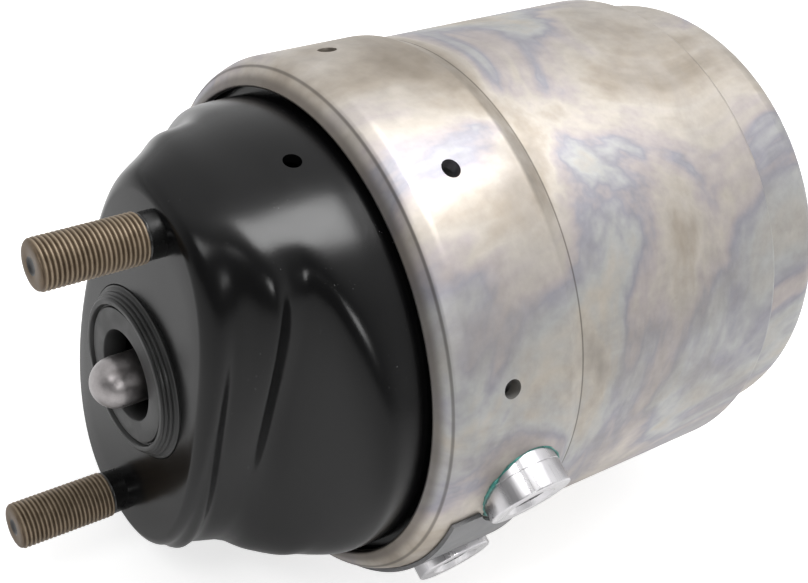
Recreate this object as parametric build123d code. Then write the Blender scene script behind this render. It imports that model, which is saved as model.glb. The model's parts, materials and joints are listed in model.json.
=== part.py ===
from build123d import *
import math
import os

# Air brake chamber for a disc brake caliper: service chamber in front, parking spring chamber behind.
# The origin is the centre of the mounting face. +X runs along the chamber to the rear, +Z is up.
# All sizes are in millimetres.

# ---- Mounting studs ----
stud_spacing = 120.65
stud_radius = 8.0
stud_neck_radius = 7.4
stud_neck_length = 5.1
stud_land_length = 2.4
stud_reach = 39.0
stud_tip_chamfer = 1.6
stud_head_radius = 10.0
stud_head_height = 5.0
stud_plate_thickness = 5.0

# ---- Service housing, a deep drawn steel bowl pinched in from both sides ----
housing_wall = 3.0
housing_radius = 79.0
front_edge_round = 3.0
# (distance behind the mounting face, radius of the bowl)
bowl_profile = [(0, 71.0), (4, 73.2), (10, 75.0), (17, 76.3), (25, 77.0), (50, 79.0)]
# (distance behind the mounting face, half width between the side pockets)
pocket_profile = [
    (0, 40.0),
    (5, 42.0),
    (12, 42.5),
    (20, 46.0),
    (29, 46.5),
    (34, 52.0),
    (39, 66.0),
    (44, 92.0),
    (50, 170.0),
]
# (distance behind the mounting face, how square the corners between bowl and pockets are)
corner_profile = [(0, 3.0), (5, 3.6), (12, 5.0), (22, 8.0), (50, 10.0)]
section_points = 40
housing_stations = [0, 0.8, 2.4, 5, 8.5, 12, 16, 20, 24.5, 29, 32, 35, 38, 41, 44, 47, 50, 57]
housing_vent_radius = 3.0
housing_vent_x = 42.0
housing_vent_angle = 92.0

# ---- Mouth ----
mouth_bore = 15.1
mouth_ring_radius = 26.9
mouth_base_radius = 29.0
mouth_flange_radius = 31.0
mouth_height = 4.6
mouth_ridge_pitch = 2.4
mouth_ridge_depth = 0.5
mouth_ridge_count = 4

# ---- Push rod and its plate ----
rod_radius = 8.5
rod_tip_x = -15.5
rod_ball_radius = 9.6
rod_neck_radius = 6.5
rod_neck_length = 12.0
rod_droop = 1.4
plate_radius = 38.0
plate_rear_x = 76.0
plate_thickness = 4.0
plate_hub_radius = 17.0
plate_hub_length = 15.5
ball_seat_floor = 1.4
retainer_thickness = 2.5

# ---- Diaphragm and springs ----
diaphragm_thickness = 3.0
bead_thickness = 4.0
bead_inner_radius = 78.0
return_wire_radius = 2.0
return_front_radius = 31.0
return_rear_radius = 26.0
return_turns = 4
spring_seat_thickness = 1.5
power_wire_radius = 6.0
power_front_radius = 66.0
power_rear_radius = 50.0
power_turns = 3
boot_wall = 1.2
boot_folds = 4

# ---- Aluminium body shell ----
rim_x = 55.7
rim_depth = 7.2
rim_inset = 1.9
rim_slope = 4.8
rim_thickness = 3.6
skirt_radius = 90.7
skirt_wall = 4.5
shell_wall = 4.0
step_x = 111.7
step_length = 6.0
step_height = 2.4
barrel_end_x = 204.0
lip_length = 3.8
lip_height = 5.3
skirt_vent_radius = 3.25
skirt_vent_x = 81.0
skirt_vent_angles = [63.7, 108.7, 153.7, 288.7, 333.7, 378.7]

# ---- Flange between the two chambers ----
flange_rear_x = 111.0
dish_depth = 11.2
dish_radius = 62.0
dish_mouth_radius = 77.0
web_thickness = 10.4
recess_depth = 19.0
flange_hub_radius = 24.0
flange_hub_end = 116.0
vent_groove_width = 8.0
vent_groove_depth = 5.0
seal_groove_width = 3.0
seal_groove_depth = 2.5

# ---- Air ports, side by side and parallel ----
port_angle = 197.2
port_height = 2.8
port_thread_radius = 7.25
port_mouth_radius = 8.6
port_thread_depth = 20.0
port_neck_radius = 10.5
port_neck_length = 9.0
port_seat_depth = 14.7
port_passage_radius = 3.5
port_passage_length = 26.0
spring_port = {"x": 91.5, "offset": -26.5, "radius": 14.5}
service_port = {"x": 86.0, "offset": 24.0, "radius": 13.6}
sealant_width = 1.4
sealant_height = 1.2

# ---- Identification tag ----
tag_front_x = 65.5
tag_length = 32.0
tag_thickness = 1.4
tag_angles = (185.2, 233.0)

# ---- Parking piston ----
piston_front_x = 176.0
piston_web = 6.0
piston_rim_length = 14.0
piston_rim_wall = 5.0
piston_hub_radius = 20.0
piston_hub_front_x = 174.0
tube_radius = 15.0
tube_wall = 3.4
tube_socket_depth = 4.0
plug_flange = 3.2
plug_spigot = 5.0
piston_seal_width = 3.5
piston_band_width = 4.0
piston_groove_depth = 3.0
bush_radius = 18.0
bush_length = 23.5
tube_seal_width = 4.0
snap_ring_width = 1.5
snap_ring_height = 1.6

# ---- Rear cover and release bolt ----
cover_front_x = 191.0
cover_end_x = 236.0
cover_wall = 4.0
cover_corner = 11.0
cover_dish_radius = 60.0
cover_dish_depth = 2.0
cover_boss_radius = 20.0
cover_boss_height = 5.0
cover_boss_inside = 12.0
bolt_radius = 8.0
bolt_hex_flats = 24.0
bolt_hex_height = 10.0
bolt_collar_radius = 10.9
bolt_collar_x = 92.0
bolt_collar_length = 6.0
release_washer_thickness = 2.7
release_washer_radius = 11.2

# ---- Clearances ----
running = 0.06
slip = 0.1
free = 0.3

# ---- Radii that follow the skirt ----
rim_outer_radius = skirt_radius - rim_inset
rim_inner_radius = rim_outer_radius - rim_depth
barrel_radius = skirt_radius - step_height
cover_radius = barrel_radius - lip_height
port_face = skirt_radius + port_height
port_seat = skirt_radius - port_seat_depth
port_passage_end = port_seat - port_passage_length
recess_radius = port_seat - recess_depth

# ---- Stack along the axis, worked out from the sizes above ----
clamp_x = rim_x + rim_thickness + 2.1
bead_x = clamp_x + housing_wall
flange_x = bead_x + bead_thickness
dish_x = flange_x + dish_depth
web_rear_x = dish_x + web_thickness
skirt_bore = skirt_radius - skirt_wall
housing_flange_radius = skirt_bore - free
barrel_bore = barrel_radius - shell_wall
rod_ball_x = plate_rear_x - ball_seat_floor - rod_ball_radius - slip
plug_x = plate_rear_x + 2 * free + diaphragm_thickness
tube_x = plug_x + plug_flange
tube_rear_x = piston_hub_front_x + tube_socket_depth
tube_bore = tube_radius - tube_wall
piston_web_rear_x = piston_front_x + piston_web
cover_inner_x = cover_end_x - cover_wall
cover_boss_x = cover_end_x + cover_boss_height
seat_plate_x = housing_wall + stud_plate_thickness
bush_front_x = dish_x + 2 * tube_seal_width
bush_rear_x = bush_front_x + bush_length


def turned(*corners):
    """Solid of revolution about X from corners (x, radius) or (x, radius, corner rounding)."""
    points = [(corner[0], corner[1]) for corner in corners]
    roundings = [corner[2] if len(corner) > 2 else 0 for corner in corners]
    return revolve(make_face(FilletPolyline(*points, radius=roundings, close=True)), Axis.X)


def ring(start, end, outer, inner):
    """Plain ring round the axis between two stations."""
    return turned((start, inner), (end, inner), (end, outer), (start, outer))


def rod(start, end, radius, y=0.0, z=0.0):
    """Cylinder parallel to the axis between two stations."""
    middle = Pos((start + end) / 2, y, z)
    return middle * Rot(0, 90, 0) * Cylinder(radius, end - start)


def at_angle(angle, x, low, high, radius):
    """Cylinder that stands out from the axis at an angle round it."""
    return Rot(angle, 0, 0) * Pos(x, (low + high) / 2, 0) * Rot(90, 0, 0) * Cylinder(radius, high - low)


def port_cylinder(port, low, high, radius):
    """Cylinder on a port's own axis between two heights above the chamber's axis."""
    middle = Rot(port_angle, 0, 0) * Pos(port["x"], (low + high) / 2, port["offset"])
    return middle * Rot(90, 0, 0) * Cylinder(radius, high - low)


def coil(start, end, start_radius, end_radius, turns, wire_radius):
    """Coil spring between two seats. Each half turn is one arc, tilted so that the wire climbs evenly."""
    halves = 2 * turns
    crossings = []
    for half in range(halves + 1):
        share = half / halves
        x = start + wire_radius + (end - start - 2 * wire_radius) * share
        radius = start_radius + (end_radius - start_radius) * share
        crossings.append(Vector(x, 0, radius * (-1) ** half))
    arcs = []
    for half in range(halves):
        first, last = crossings[half], crossings[half + 1]
        section = Plane(origin=first, z_dir=(0, 1, 0)) * Circle(wire_radius)
        middle = Axis((first + last) / 2, (last - first).cross(Vector(0, (-1) ** half, 0)))
        arcs.append(revolve(section, middle, 180))
    return arcs[0] + arcs[1:]


# ---- Service housing ----
def along(profile, x):
    """Value of a profile at a station, by straight interpolation."""
    for (x0, value0), (x1, value1) in zip(profile, profile[1:]):
        if x <= x1:
            return value0 + (value1 - value0) * (x - x0) / (x1 - x0)
    return profile[-1][1]


def housing_section(x, start, wall):
    """Face across the housing at a station, set in by a wall thickness: a circle cut in from both sides."""
    outside_x = max(x - 0.9 * wall, 0)
    bowl = along(bowl_profile, outside_x)
    half_width = along(pocket_profile, outside_x)
    square = along(corner_profile, outside_x)
    from_edge = max(front_edge_round - (x - start), 0)
    edge = front_edge_round - math.sqrt(front_edge_round**2 - from_edge**2)
    points = []
    for step in range(section_points):
        angle = 2 * math.pi * step / section_points
        side = half_width / max(abs(math.cos(angle)), 1e-3)
        radius = (bowl**-square + side**-square) ** (-1 / square) - wall - edge
        points.append((x, radius * math.cos(angle), radius * math.sin(angle)))
    return make_face(Spline(*points, periodic=True))


def housing_form(wall, start, end):
    """The pinched bowl as a closed solid between two stations, set in by a wall thickness."""
    stations = [start + x for x in housing_stations if start + x < end - 1]
    return loft([housing_section(x, start, wall) for x in stations + [end]])


def stud_places():
    return [(0, side * stud_spacing / 2) for side in (-1, 1)]


def service_housing():
    bowl_end = (clamp_x + bead_x) / 2
    shape = housing_form(0, 0, bowl_end) - housing_form(housing_wall, housing_wall, bead_x)
    shape += ring(clamp_x, bead_x, housing_flange_radius, housing_radius - housing_wall - slip)
    shape -= rod(-1, housing_wall + 1, mouth_base_radius + free)
    for y, z in stud_places():
        shape -= rod(-1, seat_plate_x, stud_neck_radius + running, y, z)
    return shape - at_angle(housing_vent_angle, housing_vent_x, 60, 90, housing_vent_radius)


def mounting_studs():
    """Threaded studs, each held in the stiffening plate by a land under its head."""
    studs = []
    for y, z in stud_places():
        stud = turned(
            (-stud_reach, 0),
            (-stud_reach, stud_radius - stud_tip_chamfer),
            (-stud_reach + stud_tip_chamfer, stud_radius),
            (-stud_neck_length, stud_radius),
            (-stud_neck_length, stud_neck_radius),
            (seat_plate_x - stud_land_length, stud_neck_radius),
            (seat_plate_x - stud_land_length, stud_radius),
            (seat_plate_x, stud_radius),
            (seat_plate_x, stud_head_radius),
            (seat_plate_x + stud_head_height, stud_head_radius),
            (seat_plate_x + stud_head_height, 0),
        )
        studs.append(Pos(0, y, z) * stud)
    return Compound(studs)


def stud_plate():
    """Stiffening plate behind the mounting wall, which carries the stud heads."""
    plate = housing_form(housing_wall + free, housing_wall, seat_plate_x)
    plate -= rod(0, seat_plate_x + 1, mouth_flange_radius + free)
    for y, z in stud_places():
        plate -= rod(0, seat_plate_x + 1, stud_neck_radius + running, y, z)
        plate -= rod(seat_plate_x - stud_land_length - running, seat_plate_x + 1, stud_radius + running, y, z)
    return plate


# ---- Mouth seal, boot and spring seat ----
def mouth_seal():
    """Ringed collar that seals against the caliper. Its flange is held behind the mounting wall."""
    collar = turned(
        (-mouth_height, mouth_bore),
        (-mouth_height, mouth_ring_radius, 0.8),
        (-1.4, mouth_ring_radius),
        (-1.4, mouth_base_radius),
        (housing_wall, mouth_base_radius),
        (housing_wall, mouth_flange_radius),
        (seat_plate_x, mouth_flange_radius),
        (seat_plate_x, mouth_flange_radius - 8),
        (housing_wall + 1, mouth_flange_radius - 8),
        (housing_wall + 1, mouth_bore),
    )
    for ridge in range(mouth_ridge_count):
        radius = mouth_bore + 1.6 + ridge * mouth_ridge_pitch
        collar -= ring(-mouth_height - 1, -mouth_height + mouth_ridge_depth, radius + 0.7, radius)
    return collar


def rod_boot():
    """Bellows from the mouth seal to the rod."""
    front = housing_wall + 1 + slip
    rear = rod_ball_x - rod_ball_radius - 6
    outer = [(front, mouth_flange_radius - 8 - free), (front + 3, mouth_flange_radius - 8 - free)]
    pitch = (rear - front - 8) / boot_folds
    for fold in range(boot_folds):
        x = front + 4 + fold * pitch
        outer += [(x, 16.5 - fold), (x + pitch / 2, 21.0 - 2 * fold)]
    outer += [(rear - 4, 10.8), (rear, 10.8)]
    inner = [(x, max(radius - boot_wall, 8.9)) for x, radius in outer]
    return turned(*outer, *reversed(inner))


def spring_seat():
    """Washer that the return spring presses on the mouth seal's flange."""
    end = seat_plate_x + spring_seat_thickness
    return ring(seat_plate_x, end, return_front_radius + 4, mouth_flange_radius - 9)


def return_spring():
    start = seat_plate_x + spring_seat_thickness + slip
    end = plate_rear_x - plate_thickness - slip
    return coil(start, end, return_front_radius, return_rear_radius, return_turns, return_wire_radius)


# ---- Push rod group ----
def push_rod():
    neck_x = rod_ball_x - rod_neck_length
    shaft = turned(
        (rod_tip_x + rod_radius, 0),
        (rod_tip_x + rod_radius, rod_radius),
        (neck_x, rod_radius),
        (neck_x + rod_radius - rod_neck_radius, rod_neck_radius),
        (rod_ball_x, rod_neck_radius),
        (rod_ball_x, 0),
    )
    tip = Pos(rod_tip_x + rod_radius, 0, 0) * Sphere(rod_radius)
    shape = shaft + tip + Pos(rod_ball_x, 0, 0) * Sphere(rod_ball_radius)
    return Pos(rod_ball_x, 0, 0) * Rot(0, -rod_droop, 0) * Pos(-rod_ball_x, 0, 0) * shape


def push_plate():
    hub_front = plate_rear_x - plate_hub_length
    plate = turned(
        (hub_front, 0),
        (hub_front, plate_hub_radius),
        (plate_rear_x - plate_thickness, plate_hub_radius),
        (plate_rear_x - plate_thickness, plate_radius),
        (plate_rear_x, plate_radius, 2.0),
        (plate_rear_x, 0),
    )
    seat_radius = rod_ball_radius + slip
    seat_floor = rod_ball_x + seat_radius
    plate -= turned(
        (hub_front - 1, 0),
        (hub_front - 1, seat_radius),
        (seat_floor, seat_radius, 0.97 * seat_radius),
        (seat_floor, 0),
    )
    return plate - rod(hub_front - 1, hub_front + retainer_thickness, plate_hub_radius - 2)


def ball_retainer():
    """Ring in the hub's mouth that holds the rod's ball."""
    hub_front = plate_rear_x - plate_hub_length
    retainer = rod(hub_front, hub_front + retainer_thickness, plate_hub_radius - 2 - running)
    return retainer - Pos(rod_ball_x, 0, 0) * Sphere(rod_ball_radius + slip)


def service_diaphragm():
    """Rubber diaphragm with a thick clamped bead, lying back in the flange's dish."""
    back = plug_x - free
    front = back - diaphragm_thickness
    return turned(
        (front, 0),
        (front, dish_radius - 3.4, 3),
        (bead_x + 1.2, bead_inner_radius - 1.5, 2),
        (bead_x, bead_inner_radius),
        (bead_x, housing_flange_radius),
        (flange_x, housing_flange_radius),
        (flange_x, dish_mouth_radius - 0.6),
        (back, dish_radius - 0.8),
        (back, 0),
    )


# ---- Body shell, flange and ports ----
def body_shell():
    """Spun aluminium shell: rim rolled over the housing's flange, skirt, step, and long spring barrel."""
    rear_lip = barrel_end_x - lip_length
    profile = turned(
        (rim_x, rim_inner_radius),
        (rim_x + rim_slope, rim_outer_radius, 3.2),
        (rim_x + rim_slope + 5, skirt_radius, 8),
        (step_x - step_length, skirt_radius, 5),
        (step_x, barrel_radius, 2.5),
        (barrel_end_x - 1.5, barrel_radius),
        (barrel_end_x, barrel_radius - 1.6),
        (barrel_end_x, cover_radius + slip),
        (rear_lip, cover_radius + slip),
        (rear_lip, barrel_bore),
        (flange_rear_x, barrel_bore),
        (flange_rear_x, skirt_bore),
        (clamp_x, skirt_bore),
        (clamp_x, rim_outer_radius - 4.5),
        (rim_x + rim_thickness, rim_inner_radius),
    )
    for angle in skirt_vent_angles:
        profile -= at_angle(angle, skirt_vent_x, skirt_bore - 2, skirt_radius + 2, skirt_vent_radius)
    for port in (spring_port, service_port):
        profile -= port_cylinder(port, port_seat - 8, skirt_radius + 10, port["radius"] + slip)
    return profile


def flange():
    """Casting between the chambers: dished in front, bored for the tube, drilled from both ports."""
    outer = skirt_bore - slip
    groove_x = skirt_vent_x - vent_groove_width / 2
    seal_x = flange_rear_x - seal_groove_width - 1
    casting = turned(
        (flange_x, dish_mouth_radius),
        (flange_x, outer),
        (groove_x, outer),
        (groove_x, outer - vent_groove_depth),
        (groove_x + vent_groove_width, outer - vent_groove_depth),
        (groove_x + vent_groove_width, outer),
        (seal_x, outer),
        (seal_x, outer - seal_groove_depth),
        (seal_x + seal_groove_width, outer - seal_groove_depth),
        (seal_x + seal_groove_width, outer),
        (flange_rear_x, outer),
        (flange_rear_x, recess_radius),
        (web_rear_x, recess_radius, 4),
        (web_rear_x, flange_hub_radius, 3),
        (flange_hub_end, flange_hub_radius),
        (flange_hub_end, bush_radius + running),
        (dish_x + tube_seal_width, bush_radius + running),
        (dish_x + tube_seal_width, tube_radius + free),
        (dish_x, tube_radius + free),
        (dish_x, dish_radius),
    )
    casting -= ring(bush_rear_x + slip, bush_rear_x + slip + snap_ring_width, bush_radius + snap_ring_height, bush_radius)
    for port in (spring_port, service_port):
        casting -= port_cylinder(port, port_seat, skirt_radius + 5, port["radius"] + free)
        casting -= port_cylinder(port, port_seat - port_neck_length - 0.5, port_seat + 1, port_neck_radius + running)
        casting -= port_cylinder(port, port_passage_end, port_seat, port_passage_radius)
    cross_x = service_port["x"]
    cross_length = cross_x - dish_x + 1
    cross = rod(cross_x - cross_length, cross_x, port_passage_radius, port_passage_end + 3, service_port["offset"])
    return casting - Rot(port_angle, 0, 0) * cross


def flange_seal():
    seal_x = flange_rear_x - seal_groove_width - 1
    outer = skirt_bore - running
    return ring(seal_x + slip, seal_x + seal_groove_width - slip, outer, skirt_bore - slip - seal_groove_depth)


def port_adapter(port):
    """Turned boss with a tapped hole, seated in the flange through the skirt."""
    seat = port_seat + seal_groove_depth / 2
    boss = port_cylinder(port, seat, port_face, port["radius"])
    boss = chamfer(boss.edges().group_by(Axis((0, 0, 0), outward()))[-1], 0.6)
    boss += port_cylinder(port, port_seat - port_neck_length, seat, port_neck_radius)
    boss -= port_cylinder(port, port_face - port_thread_depth, port_face + 1, port_thread_radius)
    boss -= port_cylinder(port, port_seat - port_neck_length - 1, port_face, port_passage_radius)
    cone_depth = port_mouth_radius - port_thread_radius
    mouth = Rot(port_angle, 0, 0) * Pos(port["x"], port_face - cone_depth / 2, port["offset"]) * Rot(-90, 0, 0)
    return boss - mouth * Cone(port_thread_radius, port_mouth_radius, cone_depth)


def outward():
    """Direction in which both ports face."""
    angle = math.radians(port_angle)
    return Vector(0, math.cos(angle), math.sin(angle))


def port_seals():
    """Flat sealing ring under each port adapter."""
    rings = []
    for port in (spring_port, service_port):
        seat = port_seat + seal_groove_depth / 2
        washer = port_cylinder(port, port_seat, seat, port["radius"] - 0.5)
        rings.append(washer - port_cylinder(port, port_seat - 1, seat + 1, port_neck_radius + slip))
    return Compound(rings)


def port_sealant():
    """Bead of sealing compound where the larger port comes through the skirt."""
    bead = port_cylinder(spring_port, port_seat, port_face, spring_port["radius"] + sealant_width)
    bead -= port_cylinder(spring_port, port_seat - 1, port_face + 1, spring_port["radius"] + running)
    band = ring(skirt_vent_x - 20, step_x - step_length - 3, skirt_radius + sealant_height, skirt_radius + running)
    return bead & band


def identification_tag():
    """Bare curved plate round the service port."""
    first, last = tag_angles
    inner = skirt_radius + slip
    face = Pos(tag_front_x + tag_length / 2, inner + tag_thickness / 2) * Rectangle(tag_length, tag_thickness)
    tag = revolve(Rot(first, 0, 0) * face, Axis.X, revolution_arc=last - first)
    tag -= port_cylinder(service_port, port_seat, port_face + 10, service_port["radius"] + slip)
    return tag - port_cylinder(spring_port, port_seat, port_face + 10, spring_port["radius"] + sealant_width + free)


# ---- Tube guide in the flange ----
def tube_seal():
    start = dish_x + tube_seal_width + slip
    return ring(start, bush_front_x - slip, bush_radius, tube_radius + running)


def guide_bush():
    return ring(bush_front_x, bush_rear_x, bush_radius, tube_radius + running)


def bush_snap_ring():
    """Sprung C ring behind the bush."""
    start = bush_rear_x + slip
    outer = bush_radius + snap_ring_height - slip
    whole = ring(start, start + snap_ring_width - slip, outer, bush_radius - snap_ring_height)
    return whole - Pos(start, 0, -bush_radius) * Box(10, 6, 10)


# ---- Parking piston group ----
def spring_piston():
    rim = barrel_bore - free
    rear = piston_front_x + piston_rim_length
    seal_x = piston_front_x + 1.5
    band_x = rear - 1.5 - piston_band_width
    return turned(
        (piston_hub_front_x, tube_radius + running),
        (piston_hub_front_x, piston_hub_radius),
        (piston_front_x, piston_hub_radius),
        (piston_front_x, rim),
        (seal_x, rim),
        (seal_x, rim - piston_groove_depth),
        (seal_x + piston_seal_width, rim - piston_groove_depth),
        (seal_x + piston_seal_width, rim),
        (band_x, rim),
        (band_x, rim - piston_groove_depth),
        (band_x + piston_band_width, rim - piston_groove_depth),
        (band_x + piston_band_width, rim),
        (rear, rim),
        (rear, rim - piston_rim_wall),
        (piston_web_rear_x, rim - piston_rim_wall - 1, 2),
        (piston_web_rear_x, piston_hub_radius + 2),
        (rear, piston_hub_radius - 3),
        (rear, bolt_radius + 0.8),
        (tube_rear_x, bolt_radius + 0.8),
        (tube_rear_x, tube_radius + running),
    )


def piston_tube():
    return ring(tube_x, tube_rear_x, tube_radius, tube_bore)


def tube_plug():
    """Pressure pad in the front end of the tube."""
    return turned(
        (plug_x, 0),
        (plug_x, tube_radius),
        (tube_x, tube_radius),
        (tube_x, tube_bore - running),
        (tube_x + plug_spigot, tube_bore - running),
        (tube_x + plug_spigot, 0),
    )


def piston_seal():
    seal_x = piston_front_x + 1.5
    inner = barrel_bore - free - piston_groove_depth
    return ring(seal_x + slip, seal_x + piston_seal_width - slip, barrel_bore - running, inner)


def piston_guide_band():
    band_x = piston_front_x + piston_rim_length - 1.5 - piston_band_width
    inner = barrel_bore - free - piston_groove_depth
    return ring(band_x + slip, band_x + piston_band_width - slip, barrel_bore - running, inner)


def power_spring():
    start = piston_web_rear_x + slip
    return coil(start, cover_inner_x - slip, power_front_radius, power_rear_radius, power_turns, power_wire_radius)


# ---- Rear cover and release bolt ----
def rear_cover():
    shoulder = barrel_bore - slip
    shoulder_end = barrel_end_x - lip_length - slip
    seal_x = cover_front_x + 2.5
    inner = cover_radius - cover_wall
    return turned(
        (cover_front_x, inner),
        (cover_front_x, shoulder),
        (seal_x, shoulder),
        (seal_x, shoulder - seal_groove_depth),
        (seal_x + seal_groove_width, shoulder - seal_groove_depth),
        (seal_x + seal_groove_width, shoulder),
        (shoulder_end, shoulder),
        (shoulder_end, cover_radius),
        (cover_end_x, cover_radius - 0.6, cover_corner),
        (cover_end_x, cover_dish_radius),
        (cover_end_x - cover_dish_depth, cover_dish_radius - 6),
        (cover_end_x - cover_dish_depth, cover_boss_radius + 4, 3),
        (cover_boss_x, cover_boss_radius),
        (cover_boss_x, bolt_radius + running),
        (cover_inner_x - cover_boss_inside, bolt_radius + running),
        (cover_inner_x - cover_boss_inside, cover_boss_radius - 2),
        (cover_inner_x - cover_dish_depth, cover_boss_radius),
        (cover_inner_x - cover_dish_depth, power_rear_radius - power_wire_radius - 4),
        (cover_inner_x, power_rear_radius - power_wire_radius - 2),
        (cover_inner_x, inner, cover_corner - cover_wall),
    )


def cover_seal():
    seal_x = cover_front_x + 2.5
    inner = barrel_bore - slip - seal_groove_depth
    return ring(seal_x + slip, seal_x + seal_groove_width - slip, barrel_bore - running, inner)


def release_bolt():
    """Long bolt that draws the piston back by hand: hexagon outside, collar inside the tube."""
    head_x = cover_boss_x + slip
    hexagon = Plane.YZ * RegularPolygon(bolt_hex_flats / 2, 6, major_radius=False)
    head = Pos(head_x, 0, 0) * extrude(hexagon, bolt_hex_height)
    crown = turned(
        (head_x, 0),
        (head_x, bolt_hex_flats / 2 + 2),
        (head_x + bolt_hex_height - 1, bolt_hex_flats / 2 + 2),
        (head_x + bolt_hex_height, bolt_hex_flats / 2 - 0.5),
        (head_x + bolt_hex_height, 0),
    )
    shank = turned(
        (bolt_collar_x, 0),
        (bolt_collar_x, bolt_collar_radius),
        (bolt_collar_x + bolt_collar_length, bolt_collar_radius),
        (bolt_collar_x + bolt_collar_length, bolt_radius),
        (head_x, bolt_radius),
        (head_x, 0),
    )
    return shank + (head & crown)


def release_washer():
    """Loose thrust washer between the bolt's collar and the piston."""
    start = bolt_collar_x + bolt_collar_length + slip
    return ring(start, start + release_washer_thickness, release_washer_radius, bolt_radius + running)


pieces = {
    "service_housing": service_housing(),
    "mounting_studs": mounting_studs(),
    "stud_plate": stud_plate(),
    "mouth_seal": mouth_seal(),
    "rod_boot": rod_boot(),
    "spring_seat": spring_seat(),
    "return_spring": return_spring(),
    "push_rod": push_rod(),
    "push_plate": push_plate(),
    "ball_retainer": ball_retainer(),
    "service_diaphragm": service_diaphragm(),
    "body_shell": body_shell(),
    "flange": flange(),
    "flange_seal": flange_seal(),
    "spring_port_adapter": port_adapter(spring_port),
    "service_port_adapter": port_adapter(service_port),
    "port_seals": port_seals(),
    "port_sealant": port_sealant(),
    "identification_tag": identification_tag(),
    "tube_seal": tube_seal(),
    "guide_bush": guide_bush(),
    "bush_snap_ring": bush_snap_ring(),
    "spring_piston": spring_piston(),
    "piston_tube": piston_tube(),
    "tube_plug": tube_plug(),
    "piston_seal": piston_seal(),
    "piston_guide_band": piston_guide_band(),
    "power_spring": power_spring(),
    "rear_cover": rear_cover(),
    "cover_seal": cover_seal(),
    "release_bolt": release_bolt(),
    "release_washer": release_washer(),
}

os.makedirs("parts", exist_ok=True)
for name, shape in pieces.items():
    export_step(shape, f"parts/{name}.step")
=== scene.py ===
import json
import math
import random

import bmesh
import bpy
import numpy as np
from mathutils import Matrix, Vector

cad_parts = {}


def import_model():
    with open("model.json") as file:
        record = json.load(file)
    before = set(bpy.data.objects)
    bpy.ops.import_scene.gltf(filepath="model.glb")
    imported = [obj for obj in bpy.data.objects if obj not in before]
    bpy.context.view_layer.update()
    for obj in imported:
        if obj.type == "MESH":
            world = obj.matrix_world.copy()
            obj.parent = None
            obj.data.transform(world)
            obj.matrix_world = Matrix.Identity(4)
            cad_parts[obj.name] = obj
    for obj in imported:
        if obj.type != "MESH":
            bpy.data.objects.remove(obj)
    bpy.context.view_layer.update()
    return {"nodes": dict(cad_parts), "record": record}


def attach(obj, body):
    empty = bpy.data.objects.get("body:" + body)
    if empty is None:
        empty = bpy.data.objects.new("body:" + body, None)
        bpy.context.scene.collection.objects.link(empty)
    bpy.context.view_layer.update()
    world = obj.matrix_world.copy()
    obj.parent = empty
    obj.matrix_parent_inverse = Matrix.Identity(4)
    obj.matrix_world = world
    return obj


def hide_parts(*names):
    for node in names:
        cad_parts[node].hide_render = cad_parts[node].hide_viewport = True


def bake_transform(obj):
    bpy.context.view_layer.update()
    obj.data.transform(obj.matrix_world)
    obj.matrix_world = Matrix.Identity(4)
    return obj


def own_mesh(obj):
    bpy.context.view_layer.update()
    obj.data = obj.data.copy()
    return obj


# Looks of an air brake chamber. Lengths of the chamber are in millimetres and are turned into metres
# when a mesh is made. Angles written as numbers are in degrees, from +Y towards +Z. The side of -Y is
# the one in the photograph.
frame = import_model()
SLOTS = {entry["node"]: entry["material_slot"] for entry in frame["record"]["subparts"]}
MM = 0.001

# ---- Sizes: those of the frame's solids, and finer ones that only this script has ----
STUD_SPACING = 120.65
STUD_RADIUS = 8.0
STUD_REACH = 39.0
# The neck that is seen plain. The thread fades out over the pitch ahead of it.
STUD_NECK_RADIUS = 7.4
STUD_NECK_LENGTH = 4.5
STUD_HEAD_RADIUS = 10.0
STUD_HEAD_START = 8.0
STUD_HEAD_END = 13.0
STUD_TIP_ROUNDING = 1.9
STUD_TIP_INSET = 2.4
THREAD_START_INSET = 2.2
# The dimple in the tip: depth, radius.
STUD_DIMPLE = ((0.9, 0.01), (0.9, 1.6), (0.5, 2.4), (0.0, 3.0))
THREAD_PITCH = 1.5
THREAD_DEPTH = 0.85
# Height over one pitch, from the root (0) to the crest (1).
THREAD_FORM = (0.0, 0.12, 0.5, 0.88, 1.0, 1.0, 0.88, 0.5)
# Heights that the thread's material reads away from the thread.
TIP_HEIGHT = 0.55
PAINTED_HEIGHT = -1.0

HOUSING_WALL = 3.0
HOUSING_END = 61.4
HOUSING_FLANGE_END = 64.4
HOUSING_FLANGE_RADIUS = 85.9
HOUSING_FLANGE_BORE = 76.0
MOUTH_HOLE = 29.3
# Profiles along the housing (station, value): bowl radius, half width between the side pockets, and
# squareness of the corners. The upper half has one form on each side, right being the side of -Y, and
# the lower half has one for both.
UPPER_RIGHT_FORM = (
    [(0, 71.0), (4, 73.2), (10, 75.0), (17, 76.3), (25, 77.0), (50, 79.0), (64, 79.0)],
    [(0, 40.0), (4, 42.0), (9, 39.8), (14, 44.0), (18, 45.2), (24, 41.5), (28, 42.5), (32, 49.0),
     (36, 61.0), (40, 76.0), (45, 104.0), (50, 170.0), (64, 400.0)],
    [(0, 3.0), (5, 3.6), (12, 5.0), (22, 8.0), (50, 10.0), (64, 10.0)],
)
UPPER_LEFT_FORM = (
    UPPER_RIGHT_FORM[0],
    [(0, 40.0), (5, 42.0), (12, 42.5), (20, 46.0), (29, 46.5), (34, 52.0), (39, 66.0), (44, 92.0),
     (50, 170.0), (64, 400.0)],
    UPPER_RIGHT_FORM[2],
)
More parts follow.
